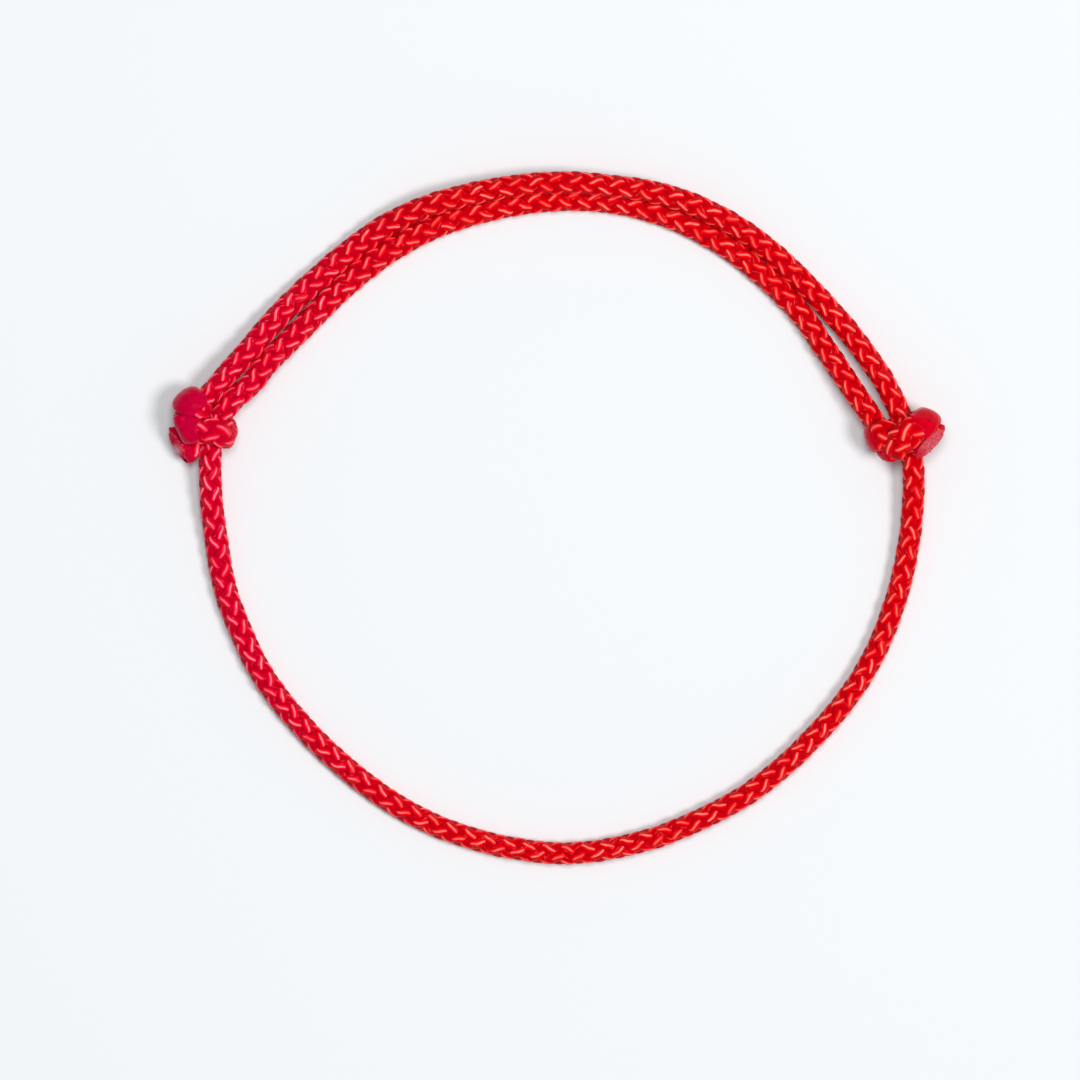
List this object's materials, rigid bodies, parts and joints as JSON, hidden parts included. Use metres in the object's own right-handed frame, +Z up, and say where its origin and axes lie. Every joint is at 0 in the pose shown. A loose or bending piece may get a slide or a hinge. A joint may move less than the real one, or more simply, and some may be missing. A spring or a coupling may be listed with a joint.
{
  "type": "rope bracelet",
  "caption": "Round loop of red braided cord, lying flat, its doubled upper side running through an overhand knot at each end so that the loop adjusts.",
  "frame": {"origin": "middle of the bracelet's outline, on the ground that it lies on", "axes": "+X from the left knot to the right knot, +Y over the doubled stretch of cord, +Z up from the ground, along the way a wrist goes in"},
  "size_m": [0.0775, 0.069, 0.0063],
  "materials": {
    "braided_cord": "glossy braided nylon",
    "melted_end": "melted nylon, dull and fibrous"
  },
  "bodies": {
    "root": {"lower_strand": "braided_cord", "outer_strand": "braided_cord", "inner_strand": "braided_cord", "left_knot": "braided_cord", "right_knot": "braided_cord", "left_sealed_end": "melted_end", "right_sealed_end": "melted_end"}
  },
  "joints": []
}
